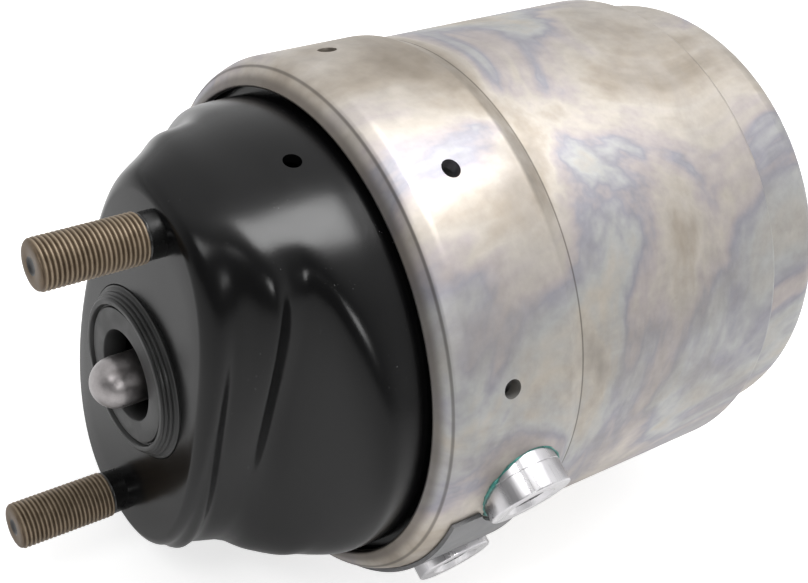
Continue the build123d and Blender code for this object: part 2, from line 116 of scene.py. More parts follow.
LOWER_FORM = (
    [(0, 71.8), (4, 73.3), (8, 73.8), (12, 74.4), (16, 75.1), (20, 75.6), (25, 76.4), (30, 77.5),
     (40, 78.6), (64, 79.3)],
    [(0, 44.9), (4, 43.9), (8, 41.5), (12, 39.8), (16, 41.5), (20, 43.5), (25, 45.4), (30, 50.2),
     (35, 58.8), (40, 74.1), (45, 104.2), (50, 167.2), (64, 400.0)],
    [(0, 2.9), (4, 3.0), (8, 4.2), (16, 4.0), (20, 4.0), (25, 4.7), (30, 7.3), (35, 8.5), (40, 6.0),
     (45, 5.4), (50, 7.8), (64, 10.0)],
)
FRONT_EDGE = 3.0
VENT_X = 42.0
VENT_ANGLE = 92.0
VENT_RADIUS = 3.0

ROD_RADIUS = 8.5
ROD_NECK_RADIUS = 6.5
ROD_SHOULDER_X = 52.9
ROD_NECK_START = 54.9
ROD_NECK_END = 57.8
ROD_TIP_X = -15.5
ROD_BALL_X = 64.9
ROD_BALL_RADIUS = 9.6
ROD_DROOP = -1.4

RIM_X = 55.7
RIM_MOUTH_RADIUS = 81.6
# Station of a thin dark line of painted shade, in the corner behind the rolled rim.
RIM_SHADE_LINE_X = 60.0
SKIRT_RADIUS = 90.7
SKIRT_BORE = 86.2
BARREL_RADIUS = 88.3
BARREL_BORE = 84.3
BARREL_END = 204.0
STEP_X = 111.7
# Station of a thin dark line of painted shade, in the concave corner at the step.
STEP_SHADE_LINE_X = 112.0
STOP_X = 111.0
COVER_SEAT_X = 200.2
COVER_SEAT_RADIUS = 83.1
SKIRT_VENT_X = 81.0
SKIRT_VENT_RADIUS = 3.25
SKIRT_VENT_ANGLES = (63.7, 108.7, 153.7, 288.7, 333.7, 378.7)

# Both ports point the same way. Each one's own: place along the chamber, offset across it, boss radius.
PORT_ANGLE = 197.2
SPRING_PORT = (91.5, -26.5, 14.5)
SERVICE_PORT = (86.0, 24.0, 13.6)
PORT_INNER_END = 67.0
PORT_SPIGOT_RADIUS = 10.5
PORT_SEAT = 77.25
PORT_LINE = 85.25
PORT_FACE = 93.5
PORT_MOUTH_RADIUS = 8.6
PORT_THREAD_RADIUS = 7.25
PORT_THREAD_DEPTH = 0.75
PORT_THREAD_LENGTH = 18.0
AIR_PASSAGE_RADIUS = 3.5


# ---- Mesh helpers ----
def new_object(name, points, faces, smooth=35.0):
    """Mesh object from points in millimetres, shaded smooth except at edges sharper than an angle."""
    mesh = bpy.data.meshes.new(name)
    mesh.from_pydata([tuple(MM * c for c in point) for point in points], [], faces)
    mesh.validate()
    obj = bpy.data.objects.new(name, mesh)
    bpy.context.scene.collection.objects.link(obj)
    tidy_normals(obj, smooth)
    return obj


def tidy_normals(obj, smooth):
    """Joins points that coincide, turns faces outward, and shades smooth except at sharp edges."""
    work = bmesh.new()
    work.from_mesh(obj.data)
    bmesh.ops.remove_doubles(work, verts=work.verts, dist=1e-6)
    bmesh.ops.recalc_face_normals(work, faces=work.faces)
    for face in work.faces:
        face.smooth = True
    for edge in work.edges:
        edge.smooth = edge.calc_face_angle(0) < math.radians(smooth)
    work.to_mesh(obj.data)
    work.free()
    obj.data.update()


def circle(x, radius, columns):
    """One row of points round the chamber's axis."""
    angles = [2 * math.pi * column / columns for column in range(columns)]
    return [(x, radius * math.cos(angle), radius * math.sin(angle)) for angle in angles]


def grid_faces(rows, columns, closed=False):
    """Quads between rows of points that each close round on themselves; closed joins the last to the first."""
    faces = []
    for row in range(rows if closed else rows - 1):
        below = (row + 1) % rows
        for column in range(columns):
            beside = (column + 1) % columns
            faces.append((
                row * columns + column,
                row * columns + beside,
                below * columns + beside,
                below * columns + column,
            ))
    return faces


def rounded(corners, steps=6):
    """Profile of (x, radius) points from corners (x, radius, rounding), with arcs at the rounded ones."""
    outline = []
    count = len(corners)
    for index, corner in enumerate(corners):
        here = np.array(corner[:2], float)
        rounding = corner[2] if len(corner) > 2 else 0
        before = np.array(corners[index - 1][:2], float) - here
        after = np.array(corners[(index + 1) % count][:2], float) - here
        if rounding == 0:
            outline.append(tuple(here))
            continue
        before_length = np.linalg.norm(before)
        after_length = np.linalg.norm(after)
        before = before / before_length
        after = after / after_length
        half = math.acos(np.clip(before @ after, -1, 1)) / 2
        reach = min(rounding / math.tan(half), 0.49 * before_length, 0.49 * after_length)
        radius = reach * math.tan(half)
        bisector = (before + after) / np.linalg.norm(before + after)
        centre = here + bisector * radius / math.sin(half)
        first = here + before * reach - centre
        last = here + after * reach - centre
        turn = math.atan2(first[0] * last[1] - first[1] * last[0], first @ last)
        for step in range(steps + 1):
            angle = turn * step / steps
            cosine, sine = math.cos(angle), math.sin(angle)
            outline.append((
                centre[0] + first[0] * cosine - first[1] * sine,
                centre[1] + first[0] * sine + first[1] * cosine,
            ))
    return outline


def lathe(name, corners, segments=160, placed=None, smooth=35.0, steps=6):
    """Solid turned about X from a closed profile; placed moves it from its own axis to the frame."""
    profile = rounded(corners, steps)
    points = [point for x, radius in profile for point in circle(x, max(radius, 0.0), segments)]
    faces = grid_faces(len(profile), segments, closed=profile[0][1] > 0 and profile[-1][1] > 0)
    if placed is not None:
        points = [tuple(placed @ Vector(point)) for point in points]
    return new_object(name, points, faces, smooth)


def port_placement(port):
    """Matrix that takes a lathe's X axis to a port's own axis, pointing outward."""
    x, offset, _ = port
    angle = math.radians(PORT_ANGLE)
    outward = Vector((0, math.cos(angle), math.sin(angle)))
    across = Vector((0, -math.sin(angle), math.cos(angle)))
    along = outward.cross(across)
    turn = Matrix((outward, across, along)).transposed().to_4x4()
    return Matrix.Translation(Vector((x, 0, 0)) + offset * across) @ turn


def radial_cutter(angle, x, low, high, radius):
    """Cylinder standing out from the chamber's axis between two distances, for cutting a hole."""
    outward = Vector((0, math.cos(math.radians(angle)), math.sin(math.radians(angle))))
    across = Vector((1, 0, 0))
    turn = Matrix((outward, across, outward.cross(across))).transposed().to_4x4()
    placed = Matrix.Translation(Vector((x, 0, 0))) @ turn
    return lathe("cutter", [(low, radius), (high, radius), (high, 0), (low, 0)], 48, placed)


def port_cutter(port, low, high, radius):
    """Cylinder on a port's own axis, for cutting its seat."""
    return lathe("cutter", [(low, 0), (low, radius), (high, radius), (high, 0)], 96, port_placement(port))


def cut(obj, cutters, smooth=35.0):
    """Takes the cutters out of an object and deletes them."""
    for cutter in cutters:
        modifier = obj.modifiers.new("cut", "BOOLEAN")
        modifier.operation = "DIFFERENCE"
        modifier.solver = "EXACT"
        modifier.object = cutter
    depsgraph = bpy.context.evaluated_depsgraph_get()
    made = bpy.data.meshes.new_from_object(obj.evaluated_get(depsgraph))
    obj.modifiers.clear()
    obj.data = made
    for cutter in cutters:
        bpy.data.objects.remove(cutter)
    tidy_normals(obj, smooth)


def eased(share):
    return share * share * (3 - 2 * share)


def smooth_value(profile, x):
    """Value of a profile at x, along a smooth curve through its points that adds no new highs or lows."""
    xs = np.array([point[0] for point in profile], float)
    ys = np.array([point[1] for point in profile], float)
    slope = np.diff(ys) / np.diff(xs)
    tangent = np.zeros(len(xs))
    tangent[0], tangent[-1] = slope[0], slope[-1]
    for index in range(1, len(xs) - 1):
        if slope[index - 1] * slope[index] > 0:
            tangent[index] = 2 * slope[index - 1] * slope[index] / (slope[index - 1] + slope[index])
    index = int(np.clip(np.searchsorted(xs, x) - 1, 0, len(slope) - 1))
    width = xs[index + 1] - xs[index]
    t = min(max((x - xs[index]) / width, 0), 1)
    return (
        (2 * t**3 - 3 * t**2 + 1) * ys[index]
        + (t**3 - 2 * t**2 + t) * width * tangent[index]
        + (-2 * t**3 + 3 * t**2) * ys[index + 1]
        + (t**3 - t**2) * width * tangent[index + 1]
    )


# ---- Material helpers ----
class Look:
    """A procedural material under construction: one Principled shader with its textures, in metres."""

    def __init__(self, name, **sockets):
        self.material = bpy.data.materials.new(name)
        self.material.use_nodes = True
        self.tree = self.material.node_tree
        self.tree.nodes.clear()
        output = self.tree.nodes.new("ShaderNodeOutputMaterial")
        self.shader = self.tree.nodes.new("ShaderNodeBsdfPrincipled")
        self.tree.links.new(self.shader.outputs[0], output.inputs[0])
        self.place = self.tree.nodes.new("ShaderNodeTexCoord").outputs["Object"]
        self.bumps = None
        for socket, value in sockets.items():
            self.set(socket.replace("_", " "), value)

    def set(self, socket, value):
        """Gives a socket of the shader a texture, a number or a colour."""
        target = self.shader.inputs[socket]
        if isinstance(value, bpy.types.NodeSocket):
            self.tree.links.new(value, target)
        elif hasattr(target.default_value, "__len__") and len(value) == 3:
            target.default_value = (*value, 1)
        else:
            target.default_value = value

    def node(self, kind, inputs, output=0, **settings):
        made = self.tree.nodes.new(kind)
        for key, value in settings.items():
            setattr(made, key, value)
        for key, value in inputs.items():
            if isinstance(value, bpy.types.NodeSocket):
                self.tree.links.new(value, made.inputs[key])
            else:
                made.inputs[key].default_value = value
        return made.outputs[output]

    def stretched(self, scale, turned=(0, 0, 0)):
        """Object coordinates scaled by different amounts along X, Y and Z."""
        return self.node("ShaderNodeMapping", {"Vector": self.place, "Scale": scale, "Rotation": turned})

    def noise(self, scale, detail=3.0, rough=0.5, distort=0.0, vector=None):
        return self.node(
            "ShaderNodeTexNoise",
            {
                "Vector": self.place if vector is None else vector,
                "Scale": scale,
                "Detail": detail,
                "Roughness": rough,
                "Distortion": distort,
            },
        )

    def between(self, value, low, high, start=0.0, end=1.0):
        """Smooth step from start to end as the value goes from low to high."""
        inputs = {0: value, 1: low, 2: high, 3: start, 4: end}
        return self.node("ShaderNodeMapRange", inputs, interpolation_type="SMOOTHSTEP")

    def math(self, operation, first, second=0.0):
        return self.node("ShaderNodeMath", {0: first, 1: second}, operation=operation)

    def ramp(self, value, stops):
        made = self.tree.nodes.new("ShaderNodeValToRGB")
        self.tree.links.new(value, made.inputs[0])
        elements = made.color_ramp.elements
        while len(elements) < len(stops):
            elements.new(0.5)
        for element, (position, colour) in zip(elements, stops):
            element.position = position
            element.color = (*colour, 1)
        return made.outputs[0]

    def mix(self, share, first, second, blend="MIX"):
        made = self.tree.nodes.new("ShaderNodeMix")
        made.data_type = "RGBA"
        made.blend_type = blend
        for key, value in ((0, share), (6, first), (7, second)):
            if isinstance(value, bpy.types.NodeSocket):
                self.tree.links.new(value, made.inputs[key])
            else:
                made.inputs[key].default_value = (*value, 1) if key else value
        return made.outputs[2]

    def bump(self, height, distance, strength):
        """Adds relief to what is there; distance is in metres."""
        inputs = {"Height": height, "Distance": distance, "Strength": strength}
        if self.bumps is not None:
            inputs["Normal"] = self.bumps
        self.bumps = self.node("ShaderNodeBump", inputs)
        self.set("Normal", self.bumps)

    def round_axis(self):
        """(position along the chamber, angle round it, distance from its axis) of a surface point."""
        apart = self.tree.nodes.new("ShaderNodeSeparateXYZ")
        self.tree.links.new(self.place, apart.inputs[0])
        angle = self.math("ARCTAN2", apart.outputs[2], apart.outputs[1])
        squares = [self.math("POWER", apart.outputs[axis], 2.0) for axis in (1, 2)]
        return apart.outputs[0], angle, self.math("SQRT", self.math("ADD", *squares))


def black_paint():
    """Gloss black stove paint with faint orange peel and settled dust."""
    look = Look("black_paint", Specular_IOR_Level=0.21)
    peel = look.noise(900, 2)
    cloud = look.noise(24, 4, 0.6)
    speck = look.between(look.noise(1500, 1, 0.4), 0.745, 0.80)
    sparse = look.between(look.noise(60, 2), 0.5, 0.7)
    dust = look.math("MULTIPLY", speck, sparse)
    base = look.ramp(cloud, [(0.3, (0.0022, 0.0022, 0.0024)), (0.7, (0.0042, 0.0042, 0.0044))])
    look.set("Base Color", look.mix(look.math("MULTIPLY", dust, 0.4), base, (0.30, 0.30, 0.30)))
    look.set("Roughness", look.between(cloud, 0.25, 0.75, 0.19, 0.27))
    look.bump(peel, 0.00004, 0.30)
    look.bump(look.noise(55, 2), 0.0006, 0.10)
    return look.material


def chromated_aluminium():
    """Chromate film on satin aluminium: soft iridescent patches, grey stains, fine scratches, and thin dark
    lines of painted shade in the corners at the rim and at the step.
    """
    look = Look("chromated_aluminium", Metallic=0.94)
    along, around, radius = look.round_axis()
    patch = look.noise(13.0, 5, 0.55, 0.7)
    film = look.ramp(patch, [
        (0.30, (0.260, 0.223, 0.179)),
        (0.39, (0.378, 0.335, 0.285)),
        (0.46, (0.466, 0.429, 0.386)),
        (0.51, (0.402, 0.365, 0.359)),
        (0.55, (0.303, 0.297, 0.328)),
        (0.60, (0.412, 0.412, 0.406)),
        (0.66, (0.457, 0.420, 0.370)),
        (0.76, (0.271, 0.240, 0.203)),
    ])
    stain = look.between(look.noise(19, 6, 0.62, 0.8), 0.44, 0.64)
    stained = look.mix(look.math("MULTIPLY", stain, 0.45), film, (0.34, 0.32, 0.30))
    mottle = look.noise(170, 4, 0.6)
    mottle = look.ramp(mottle, [(0.3, (0.42, 0.42, 0.42)), (0.7, (0.58, 0.58, 0.58))])
    coloured = look.mix(0.5, stained, mottle, "OVERLAY")
    rim = look.between(along, 0.0572, 0.0592, 0.75, 0.0)
    coloured = look.mix(rim, coloured, (0.115, 0.10, 0.088))
    # Painted shade: thin dark lines round the shell in the corners behind the rim and at the step.
    for shade_line_x, shade_depth in ((RIM_SHADE_LINE_X * MM, 0.55), (STEP_SHADE_LINE_X * MM, 0.6)):
        away = look.math("ABSOLUTE", look.math("SUBTRACT", along, shade_line_x))
        line = look.between(away, 0.0001, 0.0005, shade_depth, 0.0)
        coloured = look.mix(line, coloured, (0.05, 0.042, 0.035))
    look.set("Base Color", coloured)
    across_lines = look.math("MULTIPLY", look.math("ADD", along, radius), 900.0)
    lathe_lines = look.node("ShaderNodeCombineXYZ", {0: across_lines, 1: around})
    turned = look.noise(1, 3, 0.6, 0, lathe_lines)
    rough = look.math("ADD", look.between(patch, 0.3, 0.7, 0.42, 0.50), look.math("MULTIPLY", stain, 0.08))
    look.set("Roughness", look.math("ADD", rough, look.math("MULTIPLY", turned, 0.04)))
    slanted = look.stretched((900, 60, 60), (0.5, 0.4, 0.9))
    scratch = look.between(look.noise(1, 2, 0.5, 0.2, slanted), 0.70, 0.74)
    look.bump(turned, 0.00003, 0.25)
    look.bump(scratch, 0.00004, 0.25)
    look.bump(look.noise(30, 3), 0.0004, 0.12)
    return look.material


def turned_aluminium():
    """Bright turned face with fine tool lines."""
    look = Look("turned_aluminium", Metallic=1.0)
    streak = look.noise(1, 3, 0.6, 0, look.stretched((1400, 40, 40)))
    cloud = look.noise(90, 3)
    look.set("Base Color", look.ramp(cloud, [(0.3, (0.50, 0.49, 0.51)), (0.7, (0.68, 0.67, 0.68))]))
    look.set("Roughness", look.between(streak, 0.3, 0.7, 0.26, 0.38))
    look.bump(streak, 0.00002, 0.2)
    return look.material


def bare_steel():
    """Forged rod end, dull grey with fine pits."""
    look = Look("bare_steel", Metallic=1.0)
    cloud = look.noise(180, 4, 0.6)
    pits = look.between(look.noise(1100, 2), 0.62, 0.75)
    look.set("Base Color", look.ramp(cloud, [(0.3, (0.250, 0.235, 0.235)), (0.7, (0.410, 0.388, 0.388))]))
    look.set("Roughness", look.between(cloud, 0.3, 0.7, 0.34, 0.46))
    look.bump(pits, 0.00006, 0.5)
    return look.material


def phosphated_thread():
    """Brown-grey phosphate, paler on the crests than in the roots, and painted black at the shank.

    The mesh carries how high each point stands, and a negative height where it is painted.
    """
    look = Look("phosphated_thread")
    height = look.node("ShaderNodeAttribute", {}, "Fac", attribute_name="crest")
    cloud = look.noise(260, 4, 0.6)
    root = look.ramp(cloud, [(0.3, (0.090, 0.063, 0.040)), (0.7, (0.145, 0.106, 0.070))])
    crest = look.ramp(cloud, [(0.3, (0.180, 0.138, 0.092)), (0.7, (0.285, 0.225, 0.160))])
    painted = look.between(height, -0.6, -0.3, 1.0, 0.0)
    thread = look.mix(look.between(height, 0.45, 0.95), root, crest)
    look.set("Base Color", look.mix(painted, thread, (0.005, 0.005, 0.005)))
    look.set("Metallic", look.between(painted, 0.0, 1.0, 0.6, 0.0))
    matt = look.between(cloud, 0.3, 0.7, 0.44, 0.56)
    look.set("Roughness", look.math("SUBTRACT", matt, look.math("MULTIPLY", painted, 0.2)))
    look.bump(look.noise(1400, 2), 0.00003, 0.4)
    return look.material


def rubber():
    """Black moulded rubber, satin."""
    look = Look("black_rubber", Specular_IOR_Level=0.32)
    cloud = look.noise(120, 3)
    look.set("Base Color", look.ramp(cloud, [(0.3, (0.0126,) * 3), (0.7, (0.0234,) * 3)]))
    look.set("Roughness", look.between(cloud, 0.3, 0.7, 0.36, 0.50))
    look.bump(look.noise(1200, 2), 0.00003, 0.3)
    return look.material


def plain_surface(name, dark, light, rough=(0.32, 0.45), metallic=1.0):
    """Cloudy metal or plastic, for the pieces inside and the release bolt."""
    look = Look(name, Metallic=metallic)
    cloud = look.noise(150, 4, 0.6)
    look.set("Base Color", look.ramp(cloud, [(0.3, dark), (0.7, light)]))
    look.set("Roughness", look.between(cloud, 0.3, 0.7, *rough))
    look.bump(look.noise(900, 2), 0.00003, 0.3)
    return look.material


def sealant_green():
    """Set compound, lumpy and half gloss."""
    look = Look("green_sealant", Specular_IOR_Level=0.5)
    cloud = look.noise(500, 3)
    look.set("Base Color", look.ramp(cloud, [(0.3, (0.012, 0.10, 0.085)), (0.7, (0.05, 0.27, 0.23))]))
    look.set("Roughness", look.between(cloud, 0.3, 0.7, 0.28, 0.45))
    look.bump(look.noise(900, 3), 0.0002, 0.5)
    return look.material


def tag_surface():
    """Bare grey plate; nothing is printed on it."""
    look = Look("tag_grey", Metallic=0.35)
    cloud = look.noise(140, 4, 0.6)
    look.set("Base Color", look.ramp(cloud, [(0.3, (0.12, 0.12, 0.125)), (0.7, (0.19, 0.19, 0.195))]))
    look.set("Roughness", look.between(cloud, 0.3, 0.7, 0.35, 0.5))
    look.bump(look.noise(700, 2), 0.00004, 0.3)
    return look.material


materials = {
    "black_paint": black_paint(),
    "chromated_aluminium": chromated_aluminium(),
    "turned_aluminium": turned_aluminium(),
    "bare_steel": bare_steel(),
    "phosphated_steel": phosphated_thread(),
    "black_rubber": rubber(),
    "green_sealant": sealant_green(),
    "tag_grey": tag_surface(),
    "plain_steel": plain_surface("plain_steel", (0.36, 0.36, 0.36), (0.52, 0.52, 0.51)),
    "spring_steel": plain_surface(
        "spring_steel", (0.03, 0.032, 0.035), (0.07, 0.072, 0.078), (0.35, 0.5), 0.3
    ),
    "cast_aluminium": plain_surface("cast_aluminium", (0.48, 0.48, 0.48), (0.62, 0.62, 0.61), (0.45, 0.6)),
    "bush_plastic": plain_surface("bush_plastic", (0.60, 0.57, 0.49), (0.70, 0.67, 0.60), (0.4, 0.55), 0.0),
    "zinc_steel": plain_surface("zinc_steel", (0.55, 0.55, 0.52), (0.70, 0.70, 0.67), (0.26, 0.38)),
}


def dress(obj, slot):
    """Gives a piece the material of a slot."""
    obj.data.materials.clear()
    obj.data.materials.append(materials[slot])


def stand_for(obj, node, slot, body="chamber"):
    """Gives a piece its material and lets it take a frame node's place."""
    dress(obj, slot)
    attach(obj, body)
    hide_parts(node)


# ---- Black service housing ----
def housing_outline(x, columns, wall=0.0, start=0.0):
    """Points round the housing at a station: a circle cut in from both sides, set in by a wall.

    The inside takes the form that the outside has nearly one wall further forward, so that the wall
    stays even where the form slopes. The front edge is rounded from the start station on.
    """
    outside = max(x - 0.9 * wall, 0)
    right, left, lower = (
        [smooth_value(profile, outside) for profile in form]
        for form in (UPPER_RIGHT_FORM, UPPER_LEFT_FORM, LOWER_FORM)
    )
    from_edge = max(FRONT_EDGE - (x - start), 0)
    edge = FRONT_EDGE - math.sqrt(FRONT_EDGE**2 - from_edge**2)
    points = []
    for column in range(columns):
        angle = 2 * math.pi * column / columns
        low = eased(0.5 - 0.5 * math.sin(angle))
        near = eased(0.5 - 0.5 * math.cos(angle))
        bowl, half_width, square = (
            low * c + (1 - low) * (near * a + (1 - near) * b) for a, b, c in zip(right, left, lower)
        )
        side = half_width / max(abs(math.cos(angle)), 1e-3)
        radius = (bowl**-square + side**-square) ** (-1 / square) - wall - edge
        points.append((x, radius * math.cos(angle), radius * math.sin(angle)))
    return points


def service_housing():
    """Closed skin: mouth, flat face, pocketed outside, clamp flange and back along the inside."""
    columns, edge_count, outer_count, inner_count = 288, 8, 70, 50
    quarter = [math.pi * step / (2 * edge_count) for step in range(edge_count)]
    edge_steps = [FRONT_EDGE * (1 - math.cos(angle)) for angle in quarter]
    outer_stations = edge_steps + list(np.linspace(FRONT_EDGE, HOUSING_END, outer_count))
    inner_stations = [HOUSING_WALL + x for x in edge_steps]
    inner_stations += list(np.linspace(2 * HOUSING_WALL, HOUSING_END, inner_count))
    inner_mouth = circle(HOUSING_WALL, MOUTH_HOLE, columns)
    outer_mouth = circle(0.0, MOUTH_HOLE, columns)
    face_edge = housing_outline(outer_stations[0], columns)
    rows = [inner_mouth, outer_mouth]
    for share in (0.35, 0.7):
        rows.append([tuple(a + (b - a) * share for a, b in zip(p, q)) for p, q in zip(outer_mouth, face_edge)])
    rows += [housing_outline(x, columns) for x in outer_stations]
    rows.append(circle(HOUSING_END, HOUSING_FLANGE_RADIUS, columns))
    rows.append(circle(HOUSING_FLANGE_END, HOUSING_FLANGE_RADIUS, columns))
    rows.append(circle(HOUSING_FLANGE_END, HOUSING_FLANGE_BORE, columns))
    rows += [housing_outline(x, columns, HOUSING_WALL, HOUSING_WALL) for x in reversed(inner_stations)]
    rows.append(inner_mouth)
    points = [point for row in rows for point in row]
    obj = new_object("housing_skin", points, grid_faces(len(rows), columns), 40)
    cut(obj, [radial_cutter(VENT_ANGLE, VENT_X, 70, 90, VENT_RADIUS)], 40)
    stand_for(obj, "service_housing", "black_paint")


# ---- Studs with real threads ----
def stud(name, centre):
    """Threaded stud: a helical grid from the dimpled tip to the plain neck and the head inside."""
    columns = 96
    per_pitch = len(THREAD_FORM)
    start, end = -STUD_REACH, -STUD_NECK_LENGTH
    turns = int((end - start) / THREAD_PITCH) + 2

    def tip_limit(x):
        share = min((x - start) / STUD_TIP_ROUNDING, 1)
        rise = math.sqrt(max(0.0, 1 - (1 - share) ** 2))
        return STUD_RADIUS - STUD_TIP_ROUNDING + STUD_TIP_ROUNDING * rise

    rows = [[(start + depth, radius)] * columns for depth, radius in STUD_DIMPLE]
    rows.append([(start, STUD_RADIUS - STUD_TIP_INSET)] * columns)
    for row in range(turns * per_pitch):
        threaded = STUD_RADIUS - THREAD_DEPTH * (1 - THREAD_FORM[row % per_pitch])
        line = []
        for column in range(columns):
            x = start - THREAD_PITCH + THREAD_PITCH * (row / per_pitch + column / columns)
            held = min(max(x, start), end)
            radius = min(threaded, tip_limit(held)) if x > start else STUD_RADIUS - THREAD_START_INSET
            if x > end - THREAD_PITCH:
                fade = min(max((end - x) / THREAD_PITCH, 0.0), 1.0)
                radius = STUD_NECK_RADIUS + (radius - STUD_NECK_RADIUS) * fade
            line.append((held, radius))
        rows.append(line)
    for x, radius in ((STUD_HEAD_START, STUD_NECK_RADIUS), (STUD_HEAD_START, STUD_HEAD_RADIUS),
                      (STUD_HEAD_END, STUD_HEAD_RADIUS), (STUD_HEAD_END, 0.01)):
        rows.append([(x, radius)] * columns)
    points = []
    for row in rows:
        for column, (x, radius) in enumerate(row):
            angle = 2 * math.pi * column / columns
            points.append((x, radius * math.cos(angle), centre + radius * math.sin(angle)))
    return new_object(name, points, grid_faces(len(rows), columns), 60)


def mark_crests(obj, centre):
    """Writes how high each point stands in the thread, and a negative height where the stud is painted."""
    attribute = obj.data.attributes.new("crest", "FLOAT", "POINT")
    for vertex, value in zip(obj.data.vertices, attribute.data):
        x, y, z = (c / MM for c in vertex.co)
        if -STUD_REACH + 0.4 < x < -STUD_NECK_LENGTH - 1.0:
            root = STUD_RADIUS - THREAD_DEPTH
            value.value = (math.hypot(y, z - centre) - root) / THREAD_DEPTH
        elif x < -STUD_REACH / 2:
            value.value = TIP_HEIGHT
        else:
            value.value = PAINTED_HEIGHT


def mounting_studs():
    for name, side in (("stud_upper", 1), ("stud_lower", -1)):
        centre = side * STUD_SPACING / 2
        obj = stud(name, centre)
        mark_crests(obj, centre)
        stand_for(obj, "mounting_studs", "phosphated_steel")


# ---- Rod mouth ----
def mouth_seal():
    """Rubber collar: a flat face set in behind a raised lip, and thin ridges down its flank."""
    # Hole and flat face, lip, four ridges one behind the other, and the flange inside the housing.
    corners = [
        (4, 15.1), (-3.4, 15.1), (-3.8, 15.5, 0.3),
        (-3.8, 22.5, 0.2), (-3.0, 22.9, 0.2), (-3.0, 23.3, 0.2), (-4.6, 23.8, 0.6),
        (-4.6, 25.4, 0.7), (-4.0, 25.9, 0.2), (-3.7, 25.6, 0.15),
        (-3.5, 26.4, 0.25), (-2.9, 26.6, 0.2), (-2.6, 26.2, 0.15),
        (-2.3, 27.2, 0.25), (-1.7, 27.4, 0.2), (-1.4, 27.0, 0.15),
        (-1.1, 28.0, 0.25), (-0.5, 28.4, 0.2), (-0.3, 28.9),
        (3, 28.9), (3, 31.0), (8, 31.0), (8, 23.0), (4, 23.0),
    ]
    obj = lathe("mouth_collar", corners, 192, smooth=50, steps=4)
    stand_for(obj, "mouth_seal", "black_rubber")


def push_rod():
    """Rod with a round tip, a neck and the ball it swings on; it droops a little about the ball."""
    ball = Matrix.Translation((ROD_BALL_X, 0, 0))
    back = Matrix.Translation((-ROD_BALL_X, 0, 0))
    droop = ball @ Matrix.Rotation(math.radians(ROD_DROOP), 4, "Y") @ back
    corners = [
        (ROD_TIP_X + ROD_RADIUS * (1 - math.cos(a)), ROD_RADIUS * math.sin(a))
        for a in np.linspace(0, math.pi / 2, 24)
    ]
    corners.append((ROD_SHOULDER_X, ROD_RADIUS))
    corners += [(x, ROD_NECK_RADIUS) for x in (ROD_NECK_START, ROD_NECK_END)]
    corners += [
        (ROD_BALL_X - ROD_BALL_RADIUS * math.cos(a), ROD_BALL_RADIUS * math.sin(a))
        for a in np.linspace(0.75, math.pi, 24)
    ]
    obj = lathe("rod", corners, 96, droop, smooth=50)
    stand_for(obj, "push_rod", "bare_steel", "push_rod")


# ---- Aluminium shell and ports ----
def body_shell():
    """Rolled front rim, skirt, step and barrel; its inside steps from the skirt's bore to the barrel's."""
    corners = [
        (RIM_X, RIM_MOUTH_RADIUS, 0.9),
        (60.5, 88.8, 3.2),
        (65.5, SKIRT_RADIUS, 8),
        (STEP_X - 6.0, SKIRT_RADIUS, 5),
        (STEP_X, BARREL_RADIUS, 2.5),
        (BARREL_END - 1.5, BARREL_RADIUS, 3),
        (BARREL_END, BARREL_RADIUS - 1.6, 1.0),
        (BARREL_END, COVER_SEAT_RADIUS),
        (COVER_SEAT_X, COVER_SEAT_RADIUS),
        (COVER_SEAT_X, BARREL_BORE),
        (STOP_X, BARREL_BORE),
        (STOP_X, SKIRT_BORE),
        (HOUSING_END, SKIRT_BORE),
        (HOUSING_END, BARREL_BORE),
        (59.3, RIM_MOUTH_RADIUS),
    ]
    obj = lathe("shell_skin", corners, 288, smooth=40)
    cutters = [radial_cutter(a, SKIRT_VENT_X, 84, 93, SKIRT_VENT_RADIUS) for a in SKIRT_VENT_ANGLES]
    cutters += [port_cutter(port, 60, 100, port[2] + 0.1) for port in (SPRING_PORT, SERVICE_PORT)]
    cut(obj, cutters, 40)
    stand_for(obj, "body_shell", "chromated_aluminium")


def port_adapter(name, node, port):
    """Turned boss with a turned line round it and a real thread in its mouth."""
    radius = port[2]
    corners = [
        (PORT_INNER_END, AIR_PASSAGE_RADIUS), (PORT_INNER_END, PORT_SPIGOT_RADIUS),
        (PORT_SEAT, PORT_SPIGOT_RADIUS), (PORT_SEAT, radius),
        (PORT_LINE - 0.15, radius), (PORT_LINE, radius - 0.14), (PORT_LINE + 0.15, radius),
        (PORT_FACE, radius, 0.6), (PORT_FACE, PORT_MOUTH_RADIUS, 0.2),
        (PORT_FACE - 1.4, PORT_THREAD_RADIUS + 0.2),
    ]
    x = PORT_FACE - 1.6
    while x > PORT_FACE - PORT_THREAD_LENGTH:
        corners += [(x, PORT_THREAD_RADIUS), (x - THREAD_PITCH / 2, PORT_THREAD_RADIUS + PORT_THREAD_DEPTH)]
        x -= THREAD_PITCH
    end = PORT_FACE - PORT_THREAD_LENGTH - 2.0
    corners += [(end, PORT_THREAD_RADIUS), (end, AIR_PASSAGE_RADIUS)]
    obj = lathe(name, corners, 128, port_placement(port), smooth=30)
    stand_for(obj, node, "turned_aluminium")


